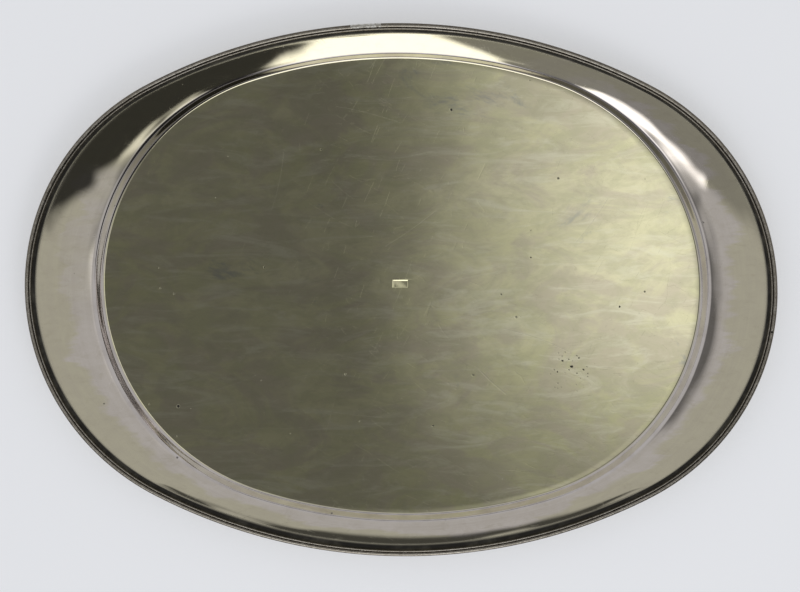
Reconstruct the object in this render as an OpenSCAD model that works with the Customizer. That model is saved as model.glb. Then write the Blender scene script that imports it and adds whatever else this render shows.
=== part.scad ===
// Oval silver salver: one raised sheet with a sunk well, and a rim of hollow bead and solid thread.
// It lies flat, +Z up, with the origin at the middle of the well's underside.

/* [Overall] */
// Length over the rim
salver_length = 500; // [420:10:600]
// Width over the rim
salver_width = 360; // [300:6:432]
// Height of the rim over the surface it rests on
salver_height = 20; // [17:1:26]

/* [Outline] */
// Half of the angle that each long side's arc spans
side_arc_half_angle = 27.8; // [22:0.1:32]
// Same half angle for the well, whose corners are fuller
well_arc_half_angle = 17.7; // [14:0.1:26]

/* [Sheet] */
// Thickness of the raised sheet
sheet_t = 1; // [0.8:0.1:1.2]
// Border from the rim to the top of the step, at the two ends
end_border = 44.4; // [38:0.2:54]
// Same border along the two long sides
side_border = 21; // [18:0.2:26]
// Width of the step, seen from above, at the two ends
end_step = 7; // [5:0.2:9]
// Same width along the two long sides
side_step = 4.8; // [4:0.2:7]
// Height of the step's top corner over the resting surface
step_height = 6.6; // [5.6:0.2:8]
// Slope of the step's wall, in degrees
step_slope = 58; // [54:1:62]
// Slope of the border where it leaves the step, in degrees
border_slope = 20; // [12:1:26]
// Radius at the foot of the step, on the upper face
foot_r = 2.3; // [1.5:0.1:3]
// Radius at the top of the step, on the upper face
corner_r = 2.2; // [1.6:0.1:3]
// Sag of the border's upper face, as a share of its width
border_sag = 0.025; // [0:0.005:0.04]

/* [Rim] */
// Outside diameter of the hollow bead
bead_d = 3; // [2.6:0.1:3.6]
// Wall of the hollow bead
bead_wall = 0.5; // [0.4:0.05:0.6]
// Diameter of the solid thread beside the bead
thread_d = 1.3; // [1.1:0.05:1.5]
// Rise of the thread's centre round the bead, in degrees
thread_rise = 17; // [12:1:22]
// Radius of the cove that turns the sheet up to the rim
cove_r = 3.2; // [2.6:0.1:4]
// Slope of the border where the cove starts, in degrees
cove_start = 22; // [16:1:30]
// Height of the upright lip above the cove
lip_height = 0.4; // [0.2:0.1:1]
// Height of the solder behind the lip
solder_height = 2.2; // [1.8:0.1:2.6]

/* [Joints in the rim] */
// Gap between two lengths of the rim, which solder fills
joint_gap = 0.1; // [0.08:0.02:0.2]
// Length of the peg inside the bead at each joint
peg_length = 8; // [6:0.5:9]
// Diameter of the vent hole in the bead
vent_d = 1.6; // [1:0.1:1.8]
// Angle of the vent hole round the right end
vent_angle = -9.2; // [-20:0.1:20]
// Length of the old solder repair on the back of the bead
repair_length = 20; // [10:1:28]
// Thickness of the repair
repair_t = 0.12; // [0.08:0.02:0.2]
// Place of the repair along the length
repair_x = -20; // [-40:5:40]

/* [Mark] */
// Length of the plain punch in the well
punch_length = 10; // [6:0.5:14]
// Width of the punch
punch_width = 5; // [3:0.5:7]
// Depth of the punch
punch_depth = 0.2; // [0.1:0.05:0.3]
// Distance of the punch from the middle of the well, across the width
punch_y = 3; // [-20:1:20]

/* [Fits] */
// Gap between the bead and the lip, which solder fills
solder_gap = 0.1; // [0.1:0.02:0.14]
// Gap left where two faces lie together
touch_gap = 0.02; // [0.01:0.01:0.03]
// Clearance of a peg in the bore of the bead
peg_clearance = 0.1; // [0.1:0.01:0.14]

/* [Hidden] */

silver = [0.78, 0.77, 0.73];
rim_silver = [0.66, 0.65, 0.61];
solder_grey = [0.55, 0.54, 0.51];

arc_facets = 240;
small_facets = 48;
side_steps = 20;
end_steps = 34;
foot_steps = 4;
corner_steps = 3;
border_steps = 4;
cove_steps = 4;
cut_over = 1;
solder_end_angle = 250;
solder_overrun = 0.2;
repair_lean = 60;

// An oval of four arcs: its end and side centres are `spread` apart on a line at `half_angle`.
function spread(long_r, short_r, half_angle) =
    (long_r - short_r) / (sin(half_angle) + cos(half_angle) - 1);

rim_spread = spread(salver_length / 2, salver_width / 2, side_arc_half_angle);
rim_end_x = rim_spread * sin(side_arc_half_angle);
rim_side_y = rim_spread * cos(side_arc_half_angle);
rim_end_r = salver_length / 2 - rim_end_x;
rim_side_r = rim_end_r + rim_spread;

// The top corner of the step and the edge of the well's flat floor are ovals of the same kind.
corner_half_l = salver_length / 2 - end_border;
corner_half_w = salver_width / 2 - side_border;
corner_spread = spread(corner_half_l, corner_half_w, well_arc_half_angle);
floor_half_l = corner_half_l - end_step;
floor_half_w = corner_half_w - side_step;
floor_spread = spread(floor_half_l, floor_half_w, well_arc_half_angle);

// Point of an oval where its outward normal stands at angle q, then moved outward by `out`.
function oval_point(q, long_r, apart, half_angle, out) =
    abs(abs(q) - 90) < half_angle
        ? (long_r - apart * sin(half_angle) + apart + out) * [cos(q), sin(q)]
            - [0, sign(q) * apart * cos(half_angle)]
        : (long_r - apart * sin(half_angle) + out) * [cos(q), sin(q)]
            + [sign(cos(q)) * apart * sin(half_angle), 0];
function rim_point(q, out) = oval_point(q, salver_length / 2, rim_spread, side_arc_half_angle, out);
function corner_point(q) = oval_point(q, corner_half_l, corner_spread, well_arc_half_angle, 0);
function floor_point(q) = oval_point(q, floor_half_l, floor_spread, well_arc_half_angle, 0);

// Directions round the sheet: the right end, the back side, the left end, the front side.
end_turn = 180 - 2 * side_arc_half_angle;
side_turn = 2 * side_arc_half_angle;
half_turn = concat(
    [for (i = [0 : end_steps - 1]) i / end_steps * end_turn - end_turn / 2],
    [for (i = [0 : side_steps - 1]) i / side_steps * side_turn + end_turn / 2]);
directions = concat(half_turn, [for (q = half_turn) q + 180 > 180 ? q - 180 : q + 180]);
steps_round = len(directions);

// The rim's section: distances run inward from the outline, heights from the resting surface.
bead_r = bead_d / 2;
bore_r = bead_r - bead_wall;
bead_z = salver_height - bead_r;
thread_r = thread_d / 2;
thread_reach = bead_r + thread_r + touch_gap;
thread_in = bead_r + thread_reach * cos(thread_rise);
thread_z = bead_z + thread_reach * sin(thread_rise);
lip_outer = bead_d + solder_gap;
lip_inner = lip_outer + sheet_t;
lip_z = thread_z - thread_r - touch_gap;
cove_z = lip_z - lip_height;
cove_in = lip_inner + cove_r;

// The step's section: runs go outward from the edge of the flat floor.
wall_rise = step_height - sheet_t - foot_r * (1 - cos(step_slope))
    - corner_r * (cos(border_slope) - cos(step_slope));
corner_run = corner_r * (sin(step_slope) - sin(border_slope));
step_run = foot_r * sin(step_slope) + wall_rise / tan(step_slope) + corner_run;
corner_x = step_run + corner_r * sin(border_slope);
corner_z = step_height - corner_r * cos(border_slope);

// A ring of points is [share of the step's width, share of the border's width, way in from the rim, height].
function step_ring(run, z) = [run / step_run, 0, 0, z];
function rim_ring(inward, z) = [0, 1, inward, z];
function foot_rings(r) = [for (i = [0 : foot_steps]) let (a = step_slope * i / foot_steps)
    step_ring(r * sin(a), sheet_t + foot_r - r * cos(a))];
function corner_ring(a, r) = step_ring(corner_x - r * sin(a), corner_z + r * cos(a));
function corner_rings(r) = [for (i = [0 : corner_steps])
    corner_ring(step_slope + (border_slope - step_slope) * i / corner_steps, r)];
function cove_ring(a, r) = rim_ring(cove_in - r * sin(a), cove_z - r * cos(a));
function cove_rings(r) = [for (i = [0 : cove_steps])
    cove_ring(cove_start + (90 - cove_start) * i / cove_steps, r)];
function border_rings(a, b) = [for (i = [1 : border_steps - 1]) let (k = i / border_steps)
    [a[0], k, b[2], a[3] + (b[3] - a[3]) * k]];
function turned(list) = [for (i = [len(list) - 1 : -1 : 0]) list[i]];

upper_rings = concat(
    foot_rings(foot_r),
    corner_rings(corner_r),
    border_rings(corner_ring(border_slope, corner_r), cove_ring(cove_start, cove_r)),
    cove_rings(cove_r),
    [rim_ring(lip_inner, lip_z)]);
lower_rings = concat(
    foot_rings(foot_r + sheet_t),
    corner_rings(corner_r - sheet_t),
    border_rings(corner_ring(border_slope, corner_r - sheet_t), cove_ring(cove_start, cove_r + sheet_t)),
    cove_rings(cove_r + sheet_t),
    [rim_ring(lip_outer, lip_z)]);
sheet_rings = concat(upper_rings, turned(lower_rings));

// Between the step and the rim a ring sags by a share of the border's own width there.
function ring_point(ring, q) =
    let (
        k = ring[1],
        near = floor_point(q) * (1 - ring[0]) + corner_point(q) * ring[0],
        far = rim_point(q, -ring[2]),
        sag = 4 * k * (1 - k) * border_sag * norm(far - near)
    )
    concat(near * (1 - k) + far * k, ring[3] - sag);

module swept_sheet() {
    count = len(sheet_rings);
    points = [for (ring = sheet_rings, q = directions) ring_point(ring, q)];
    walls = [for (i = [0 : count - 2], j = [0 : steps_round - 1])
        let (
            near = i * steps_round,
            far = near + steps_round,
            next = (j + 1) % steps_round
        )
        each [[near + j, far + j, near + next], [near + next, far + j, far + next]]];
    floor_top = [for (j = [0 : steps_round - 1]) steps_round - 1 - j];
    floor_under = [for (j = [0 : steps_round - 1]) (count - 1) * steps_round + j];
    polyhedron(points, concat([floor_top, floor_under], walls));
}

module tray_body() {
    color(silver)
    difference() {
        swept_sheet();
        translate([-punch_length / 2, punch_y - punch_width / 2, sheet_t - punch_depth])
        cube([punch_length, punch_width, punch_depth + cut_over]);
    }
}

// One length of the rim: a section drawn inward of the outline and swept round one arc.
module rim_length(middle, half_angle, r, gap) {
    trim = asin(gap / 2 / r);
    rotate_extrude(angle = 2 * (half_angle - trim), start = middle - half_angle + trim, $fn = arc_facets)
    translate([r, 0])
    children();
}

module right_length(gap) {
    translate([rim_end_x, 0, 0])
    rim_length(0, end_turn / 2, rim_end_r, gap) children();
}

module back_length(gap) {
    translate([0, -rim_side_y, 0])
    rim_length(90, side_arc_half_angle, rim_side_r, gap) children();
}

module left_length(gap) {
    translate([-rim_end_x, 0, 0])
    rim_length(180, end_turn / 2, rim_end_r, gap) children();
}

module front_length(gap) {
    translate([0, rim_side_y, 0])
    rim_length(270, side_arc_half_angle, rim_side_r, gap) children();
}

module bead_circle(r) {
    translate([-bead_r, bead_z])
    circle(r = r, $fn = small_facets);
}

module thread_circle(r) {
    translate([-thread_in, thread_z])
    circle(r = r, $fn = small_facets);
}

module bead_section() {
    difference() {
        bead_circle(bead_r);
        bead_circle(bore_r);
    }
}

module rim_bead_right() {
    color(rim_silver)
    difference() {
        right_length(joint_gap) bead_section();
        translate([rim_end_x, 0, 0])
        rotate([0, 0, vent_angle])
        translate([rim_end_r - bead_r, 0, bead_z])
        cylinder(h = bead_r + cut_over, d = vent_d, $fn = small_facets);
    }
}

module rim_bead_back() {
    color(rim_silver)
    back_length(joint_gap) bead_section();
}

module rim_bead_left() {
    color(rim_silver)
    left_length(joint_gap) bead_section();
}

module rim_bead_front() {
    color(rim_silver)
    front_length(joint_gap) bead_section();
}

module rim_thread_right() {
    color(rim_silver)
    right_length(joint_gap) thread_circle(thread_r);
}

module rim_thread_back() {
    color(rim_silver)
    back_length(joint_gap) thread_circle(thread_r);
}

module rim_thread_left() {
    color(rim_silver)
    left_length(joint_gap) thread_circle(thread_r);
}

module rim_thread_front() {
    color(rim_silver)
    front_length(joint_gap) thread_circle(thread_r);
}

// Solder runs behind the lip and the cove, up past the bead and under the thread.
solder_top = lip_z + touch_gap;
solder_low = lip_z - solder_height;
solder_side = lip_outer - 2 * touch_gap;
cove_back_r = cove_r + sheet_t + touch_gap;
solder_start = [bead_r * cos(solder_end_angle) - bead_r, bead_z + bead_r * sin(solder_end_angle)];
solder_foot = [sqrt(cove_back_r ^ 2 - (cove_z - solder_low) ^ 2) - cove_in, solder_low];
module solder_section() {
    difference() {
        polygon([
            solder_start,
            [-bead_r, bead_z],
            [-thread_in, thread_z],
            [-thread_in, solder_top],
            [-solder_side, solder_top],
            [-solder_side, cove_z],
            [-cove_in, cove_z],
            solder_foot + solder_overrun * (solder_foot - solder_start)
        ]);
        bead_circle(bead_r + touch_gap);
        thread_circle(thread_r + touch_gap);
        translate([-cove_in, cove_z])
        circle(r = cove_back_r, $fn = arc_facets);
    }
}

module rim_solder_right() {
    color(solder_grey)
    right_length(touch_gap) solder_section();
}

module rim_solder_back() {
    color(solder_grey)
    back_length(touch_gap) solder_section();
}

module rim_solder_left() {
    color(solder_grey)
    left_length(touch_gap) solder_section();
}

module rim_solder_front() {
    color(solder_grey)
    front_length(touch_gap) solder_section();
}

// A round piece lying along the bead at each of the four joints.
joint_directions = [for (k = [0, 180]) each [k + end_turn / 2, k - end_turn / 2]];
module at_joints() {
    for (q = joint_directions) {
        translate(concat(rim_point(q, -bead_r), bead_z))
        rotate([0, 90, q + 90])
        children();
    }
}

module joint_pegs() {
    color(silver)
    at_joints()
    cylinder(h = peg_length, r = bore_r - peg_clearance, center = true, $fn = small_facets);
}

module joint_solder() {
    color(solder_grey)
    at_joints()
    difference() {
        cylinder(h = joint_gap - 2 * touch_gap, r = bead_r, center = true, $fn = small_facets);
        cylinder(h = joint_gap + cut_over, r = bore_r, center = true, $fn = small_facets);
    }
}

// The repair is a thin crescent of solder lying over the top of the bead, leaning outward.
repair_middle = 90 - asin(repair_x / (rim_side_r - bead_r));
repair_half_angle = asin(repair_length / 2 / (rim_side_r - bead_r));
module rim_repair() {
    color(solder_grey)
    translate([0, -rim_side_y, 0])
    rim_length(repair_middle, repair_half_angle, rim_side_r, touch_gap)
    difference() {
        translate(repair_t * [cos(repair_lean), sin(repair_lean)]) bead_circle(bead_r);
        bead_circle(bead_r + touch_gap);
    }
}

tray_body();
rim_bead_right();
rim_bead_back();
rim_bead_left();
rim_bead_front();
rim_thread_right();
rim_thread_back();
rim_thread_left();
rim_thread_front();
rim_solder_right();
rim_solder_back();
rim_solder_left();
rim_solder_front();
joint_pegs();
joint_solder();
rim_repair();
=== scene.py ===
import math

import bmesh
import bpy
import numpy as np
from mathutils import Matrix, Vector, noise


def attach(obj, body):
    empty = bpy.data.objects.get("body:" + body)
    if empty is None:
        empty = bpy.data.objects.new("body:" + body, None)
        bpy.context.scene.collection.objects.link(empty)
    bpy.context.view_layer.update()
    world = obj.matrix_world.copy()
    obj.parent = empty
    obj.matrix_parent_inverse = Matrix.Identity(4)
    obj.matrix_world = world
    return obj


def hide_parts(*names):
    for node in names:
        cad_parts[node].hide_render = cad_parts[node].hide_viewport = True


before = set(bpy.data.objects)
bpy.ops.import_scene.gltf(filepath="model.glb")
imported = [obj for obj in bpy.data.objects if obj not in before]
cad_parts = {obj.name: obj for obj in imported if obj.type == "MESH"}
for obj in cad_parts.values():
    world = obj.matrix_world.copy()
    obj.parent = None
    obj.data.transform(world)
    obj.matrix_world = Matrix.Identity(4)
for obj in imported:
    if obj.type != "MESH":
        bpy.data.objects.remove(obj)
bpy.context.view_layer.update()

MM = 0.001

# ---------------------------------------------------------------- the salver's sizes, in millimetres
HALF_LENGTH, HALF_WIDTH = 250.0, 180.0
RIM_HEIGHT = 20.0
SIDE_ARC = math.radians(27.8)
WELL_ARC = math.radians(17.7)
SHEET = 1.0
END_BORDER, SIDE_BORDER = 44.4, 21.0
END_STEP, SIDE_STEP = 7.0, 4.8
STEP_HEIGHT = 6.6
STEP_SLOPE = math.radians(58)
BORDER_SLOPE = math.radians(20)
FOOT_R, CORNER_R = 2.3, 2.2
BORDER_SAG = 0.025
BEAD_R, BORE_R = 1.5, 1.0
THREAD_R = 0.65
THREAD_RISE = math.radians(17)
COVE_R = 3.2
COVE_START = math.radians(22)
LIP_HEIGHT = 0.4
SOLDER_HEIGHT = 2.2
JOINT_GAP, SOLDER_GAP, TOUCH_GAP = 0.1, 0.1, 0.02
VENT_R = 0.8
VENT_TURN = math.radians(-9.2)
REPAIR_X, REPAIR_LENGTH, REPAIR_T = -20.0, 20.0, 0.12
REPAIR_LEAN = math.radians(60)
PUNCH_LENGTH, PUNCH_WIDTH, PUNCH_DEPTH = 10.0, 5.0, 0.2
PUNCH_Y = 3.0

BEAD_Z = RIM_HEIGHT - BEAD_R
THREAD_REACH = BEAD_R + THREAD_R + TOUCH_GAP
THREAD_IN = BEAD_R + THREAD_REACH * math.cos(THREAD_RISE)
THREAD_Z = BEAD_Z + THREAD_REACH * math.sin(THREAD_RISE)
LIP_OUTER = 2 * BEAD_R + SOLDER_GAP
LIP_INNER = LIP_OUTER + SHEET
LIP_Z = THREAD_Z - THREAD_R - TOUCH_GAP
COVE_Z = LIP_Z - LIP_HEIGHT
COVE_IN = LIP_INNER + COVE_R

ROUND = 480  # points round the sheet
OUTLINE_LENGTH = 1.36  # metres round the rim, roughly
# Rows across the sheet, on its upper side and under it.
MIDDLE_ROWS, FLOOR_ROWS, FOOT_ROWS = (30, 3), (44, 20), (9, 6)
CORNER_ROWS, BORDER_ROWS, COVE_ROWS = (8, 5), (26, 14), (10, 8)
MIDDLE_SHARE, OUTER_SHARE = 0.055, 0.945  # of the floor, with close rows and with the rest
ROW_CROWDING = 0.92
LIP_ROUND, LIP_BEVEL = 0.12, 0.03
SHARP_ANGLE = math.radians(50)
BEAD_SIDES, THREAD_SIDES, REPAIR_SIDES = 20, 16, 22
BEAD_SPACING, THREAD_SPACING, SOLDER_SPACING = 0.75, 0.9, 1.2
VENT_DRILL_LENGTH = 3.0
# Waves in the sheet: size, seed and height.
LONG_WAVES = [(105.0, 1, 0.075), (52.0, 2, 0.034)]
SHORT_WAVES = [(23.0, 3, 0.0075), (12.0, 8, 0.0016)]
BORDER_WAVES = [(60.0, 4, 0.22), (24.0, 5, 0.075), (11.0, 6, 0.012)]
# Dents in the border: height, x, y, reach along and across, and turn.
DENTS = [
    (-0.34, -181, 114, 6.5, 3.6, 0.75),
    (-0.16, -203, 96, 9, 5, 1.1),
    (-0.20, -232, 33, 5, 13, 0.2),
    (0.15, -208, 78, 14, 8, -0.6),
    (-0.22, -226, 8, 9, 14, 0.1),
    (-0.10, 172, 104, 12, 6, -0.7),
    (-0.12, 205, 74, 6, 18, -0.4),
    (0.10, 226, 30, 6, 16, -0.1),
    (-0.10, 96, -152, 14, 6, 0.3),
    (-0.08, -60, -163, 18, 5, 0.1),
]


class Oval:
    """An oval of four arcs, found by the direction in which its outline faces."""

    def __init__(self, half_length, half_width, side_arc):
        self.side_arc = side_arc
        self.apart = (half_length - half_width) / (math.sin(side_arc) + math.cos(side_arc) - 1)
        self.end_x = self.apart * math.sin(side_arc)
        self.side_y = self.apart * math.cos(side_arc)
        self.end_r = half_length - self.end_x
        self.side_r = self.end_r + self.apart

    def points(self, facing, out=0.0):
        """x and y of the outline, moved outward by out, where it faces the given angles."""
        c, s = np.cos(facing), np.sin(facing)
        side = np.abs(s) > math.cos(self.side_arc)
        r = np.where(side, self.side_r, self.end_r) + out
        x = r * c + np.where(side, 0.0, np.sign(c) * self.end_x)
        y = r * s - np.where(side, np.sign(s) * self.side_y, 0.0)
        return x, y


rim_oval = Oval(HALF_LENGTH, HALF_WIDTH, SIDE_ARC)
corner_oval = Oval(HALF_LENGTH - END_BORDER, HALF_WIDTH - SIDE_BORDER, WELL_ARC)
floor_oval = Oval(HALF_LENGTH - END_BORDER - END_STEP, HALF_WIDTH - SIDE_BORDER - SIDE_STEP, WELL_ARC)


# ---------------------------------------------------------------- mesh helpers
def piece_from(name, points, faces):
    """A new smooth-shaded object from points in millimetres and faces."""
    mesh = bpy.data.meshes.new(name)
    mesh.from_pydata([tuple(p) for p in np.asarray(points) * MM], [], faces)
    mesh.validate()
    mesh.polygons.foreach_set("use_smooth", [True] * len(mesh.polygons))
    piece = bpy.data.objects.new(name, mesh)
    bpy.context.scene.collection.objects.link(piece)
    return piece


def ring_faces(rows, around, start=0):
    """Quads between rows of points, each row a closed ring with the same number around."""
    faces = []
    for i in range(rows - 1):
        a = start + i * around
        b = a + around
        for j in range(around):
            k = (j + 1) % around
            faces.append((a + j, b + j, b + k, a + k))
    return faces


def lumps(points, size, seed):
    """Smooth noise of about -1 to 1 at each point, its lumps of the given size."""
    shift = Vector((seed * 17.3, seed * 5.1, seed * 9.7))
    return np.array([noise.noise(Vector(p) / size + shift) for p in points])


def waves(points, kinds):
    """Several sizes of lumps together."""
    return sum(lumps(points, size, seed) * height for size, seed, height in kinds)


def hump(x, y, middle_x, middle_y, reach_x, reach_y, turn=0.0):
    """A soft round hump of height 1."""
    dx, dy = x - middle_x, y - middle_y
    u = (dx * math.cos(turn) + dy * math.sin(turn)) / reach_x
    v = (-dx * math.sin(turn) + dy * math.cos(turn)) / reach_y
    return np.exp(-(u * u + v * v))


def ease(value, low, high):
    """0 below low, 1 above high, smooth between."""
    t = np.clip((value - low) / (high - low), 0, 1)
    return t * t * (3 - 2 * t)


# ---------------------------------------------------------------- the raised sheet
def section_rows(upper):
    """Rows of the sheet from the middle of the well to the rim's lip.

    A row is (share of the floor, share of the step, share of the border, way in from the rim, height).
    """
    foot = FOOT_R if upper else FOOT_R + SHEET
    corner = CORNER_R if upper else CORNER_R - SHEET
    cove = COVE_R if upper else COVE_R + SHEET
    floor_z = SHEET if upper else 0.0
    foot_z = SHEET + FOOT_R
    wall_rise = (
        STEP_HEIGHT - SHEET - FOOT_R * (1 - math.cos(STEP_SLOPE))
        - CORNER_R * (math.cos(BORDER_SLOPE) - math.cos(STEP_SLOPE))
    )
    corner_run = CORNER_R * (math.sin(STEP_SLOPE) - math.sin(BORDER_SLOPE))
    step_run = FOOT_R * math.sin(STEP_SLOPE) + wall_rise / math.tan(STEP_SLOPE) + corner_run
    corner_x = step_run + CORNER_R * math.sin(BORDER_SLOPE)
    corner_z = STEP_HEIGHT - CORNER_R * math.cos(BORDER_SLOPE)

    rows = []
    side = 0 if upper else 1
    middle_rows, floor_rows, foot_rows = MIDDLE_ROWS[side], FLOOR_ROWS[side], FOOT_ROWS[side]
    corner_rows, border_rows, cove_rows = CORNER_ROWS[side], BORDER_ROWS[side], COVE_ROWS[side]
    for i in range(1, middle_rows + 1):
        rows.append((MIDDLE_SHARE * i / middle_rows, 0, 0, 0, floor_z))
    for i in range(1, floor_rows + 1):
        share = MIDDLE_SHARE + OUTER_SHARE * (i / floor_rows) ** ROW_CROWDING
        rows.append((share, 0, 0, 0, floor_z))
    for i in range(1, foot_rows + 1):
        a = STEP_SLOPE * i / foot_rows
        rows.append((1, foot * math.sin(a) / step_run, 0, 0, foot_z - foot * math.cos(a)))
    start_x = (corner_x - corner * math.sin(STEP_SLOPE)) / step_run
    start_z = corner_z + corner * math.cos(STEP_SLOPE)
    before = rows[-1]
    for k in (0.33, 0.67):
        step = before[1] + (start_x - before[1]) * k
        rows.append((1, step, 0, 0, before[4] + (start_z - before[4]) * k))
    for i in range(corner_rows + 1):
        a = STEP_SLOPE + (BORDER_SLOPE - STEP_SLOPE) * i / corner_rows
        step = (corner_x - corner * math.sin(a)) / step_run
        rows.append((1, step, 0, 0, corner_z + corner * math.cos(a)))
    near = rows[-1]
    far_in = COVE_IN - cove * math.sin(COVE_START)
    far_z = COVE_Z - cove * math.cos(COVE_START)
    for i in range(1, border_rows):
        k = i / border_rows
        rows.append((1, near[1], k, far_in, near[4] + (far_z - near[4]) * k))
    for i in range(cove_rows + 1):
        a = COVE_START + (math.pi / 2 - COVE_START) * i / cove_rows
        rows.append((1, near[1], 1, COVE_IN - cove * math.sin(a), COVE_Z - cove * math.cos(a)))
    lip, way = (LIP_INNER, -1) if upper else (LIP_OUTER, 1)
    for moved, below in ((0.0, LIP_ROUND), (LIP_BEVEL, LIP_BEVEL), (LIP_ROUND, 0.0)):
        rows.append((1, near[1], 1, lip + way * moved, LIP_Z - below))
    return rows


def row_points(row, facing):
    """The points of one row, and how far each lies in from the rim."""
    floor_share, step_share, border_share, inward, height = row
    fx, fy = floor_oval.points(facing)
    if floor_share < 1:
        points = np.stack([fx * floor_share, fy * floor_share, np.full_like(fx, height)], 1)
        return points, np.full_like(fx, END_BORDER)
    cx, cy = corner_oval.points(facing)
    near_x, near_y = fx + (cx - fx) * step_share, fy + (cy - fy) * step_share
    rx, ry = rim_oval.points(facing, -inward)
    x = near_x * (1 - border_share) + rx * border_share
    y = near_y * (1 - border_share) + ry * border_share
    width = np.hypot(rx - near_x, ry - near_y)
    sag = 4 * border_share * (1 - border_share) * BORDER_SAG * width
    return np.stack([x, y, height - sag], 1), inward + (1 - border_share) * width


def years_of_use(points, border_share, step_share):
    """How far handling has moved the sheet up: long soft waves, small dents and old raising marks."""
    x, y = points[:, 0], points[:, 1]
    flat = points * [1, 1, 0]
    on_border = ease(border_share, 0.0, 0.15) * (1 - ease(border_share, 0.8, 1.0))
    on_floor = 1 - ease(step_share, 0.0, 0.4)
    floor_waves = waves(flat, LONG_WAVES) + waves(flat, SHORT_WAVES)
    moved = on_floor * floor_waves + on_border * waves(flat, BORDER_WAVES)
    dents = sum(height * hump(x, y, *place) for height, *place in DENTS)
    return moved + on_border * dents


def press_mark(points):
    """Depth of the plain oblong punch near the middle of the well, with a thin burr beside it."""
    x, y = points[:, 0], points[:, 1] - PUNCH_Y
    edge_x = PUNCH_LENGTH / 2 - np.abs(x)
    edge_y = PUNCH_WIDTH / 2 - np.abs(y)
    inside = ease(np.minimum(edge_x, edge_y), -0.15, 0.45)
    worn = 0.6 + 0.4 * ease(x + y, -5, 3)
    burr = 0.045 * hump(x, y, 1.5, PUNCH_WIDTH / 2 + 0.4, 4.5, 0.4)
    return burr - PUNCH_DEPTH * inside * worn


def make_tray():
    """The sheet in one closed surface: upper side out to the lip, and back under it."""
    facing = np.linspace(0, 2 * math.pi, ROUND, endpoint=False) + math.pi / ROUND
    upper, lower = section_rows(True), section_rows(False)
    rows = upper + lower[::-1]
    points, shares, steps, ways_in = [], [], [], []
    for row in rows:
        placed, way_in = row_points(row, facing)
        points.append(placed)
        ways_in.append(way_in)
        shares.append(np.full(ROUND, float(row[2])))
        steps.append(np.full(ROUND, float(row[1])))
    points = np.concatenate(points)
    share = np.concatenate(shares)
    step = np.concatenate(steps)
    points[:, 2] += years_of_use(points, share, step)
    top_count = len(upper) * ROUND
    points[:top_count, 2] += press_mark(points[:top_count])
    moved = points[:, 2]
    moved[top_count:] = np.maximum(moved[top_count:], 0.0)

    count = len(rows)
    middle_top = points[: ROUND].mean(0)
    middle_under = points[-ROUND:].mean(0)
    all_points = np.concatenate([points, [middle_top], [middle_under]])
    faces = ring_faces(count, ROUND)
    top_index, under_index = len(points), len(points) + 1
    for j in range(ROUND):
        k = (j + 1) % ROUND
        faces.append((top_index, j, k))
        faces.append((under_index, (count - 1) * ROUND + k, (count - 1) * ROUND + j))
    tray = piece_from("salver_sheet", all_points, faces)

    upper_side = np.arange(len(all_points)) < top_count
    upper_side[top_index] = True
    floor_part = np.concatenate([1 - ease(step, 0.0, 0.25), [1, 1]])
    step_part = np.concatenate([ease(step, 0.02, 0.35) * (1 - ease(share, 0.0, 0.06)), [0, 0]])
    # The cove mark is where the material paints black shade beside the rim.
    cove_part = np.concatenate([1 - ease(np.concatenate(ways_in), 6.3, 7.9), [0, 0]])
    border_part = np.concatenate([share, [0, 0]])
    marks = {
        "well": floor_part,
        "step": step_part,
        "cove": cove_part,
        "border": border_part,
        "upper_side": upper_side.astype(float),
    }
    for label, values in marks.items():
        attribute = tray.data.attributes.new(label, "FLOAT", "POINT")
        attribute.data.foreach_set("value", np.asarray(values, np.float32))
    add_border_map(tray, count)
    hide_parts("tray_body")
    return tray


def add_border_map(tray, count):
    """A map for lines that follow the rim: u runs round the border and v across it, in metres."""
    mesh = tray.data
    layer = mesh.uv_layers.new(name="round_and_across")
    vertex = np.zeros(len(mesh.loops), int)
    mesh.loops.foreach_get("vertex_index", vertex)
    place = vertex % ROUND
    row = np.minimum(vertex // ROUND, count - 1)
    starts = np.zeros(len(mesh.polygons), int)
    mesh.polygons.foreach_get("loop_start", starts)
    totals = np.zeros(len(mesh.polygons), int)
    mesh.polygons.foreach_get("loop_total", totals)
    first = np.repeat(place[starts], totals)
    wrapped = np.where((first > ROUND * 0.75) & (place < ROUND * 0.25), place + ROUND, place)
    wrapped = np.where((first < ROUND * 0.25) & (place > ROUND * 0.75), place - ROUND, wrapped)
    co = np.zeros(len(mesh.vertices) * 3)
    mesh.vertices.foreach_get("co", co)
    co = co.reshape(-1, 3)[:-2].reshape(count, ROUND, 3)
    across = np.concatenate([[0], np.cumsum(np.linalg.norm(np.diff(co, axis=0), axis=2).mean(1))])
    uv = np.stack([wrapped * OUTLINE_LENGTH / ROUND, across[row]], 1)
    layer.data.foreach_set("uv", uv.astype(np.float32).ravel())


# ---------------------------------------------------------------- the rim
# Each length of the rim is one arc of the outline: its middle direction and half its angle.
END_HALF = math.pi / 2 - SIDE_ARC
LENGTHS = {
    "right": (0.0, END_HALF),
    "back": (math.pi / 2, SIDE_ARC),
    "left": (math.pi, END_HALF),
    "front": (-math.pi / 2, SIDE_ARC),
}


def arc_points(side, angles, inward, height):
    """Points on one length of the rim, for arrays of directions, ways in and heights."""
    middle = LENGTHS[side][0]
    on_end = side in ("right", "left")
    r = (rim_oval.end_r if on_end else rim_oval.side_r) - inward
    centre_x = math.cos(middle) * rim_oval.end_x if on_end else 0.0
    centre_y = 0.0 if on_end else -math.sin(middle) * rim_oval.side_y
    return np.stack([centre_x + r * np.cos(angles), centre_y + r * np.sin(angles), height], -1)


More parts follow.
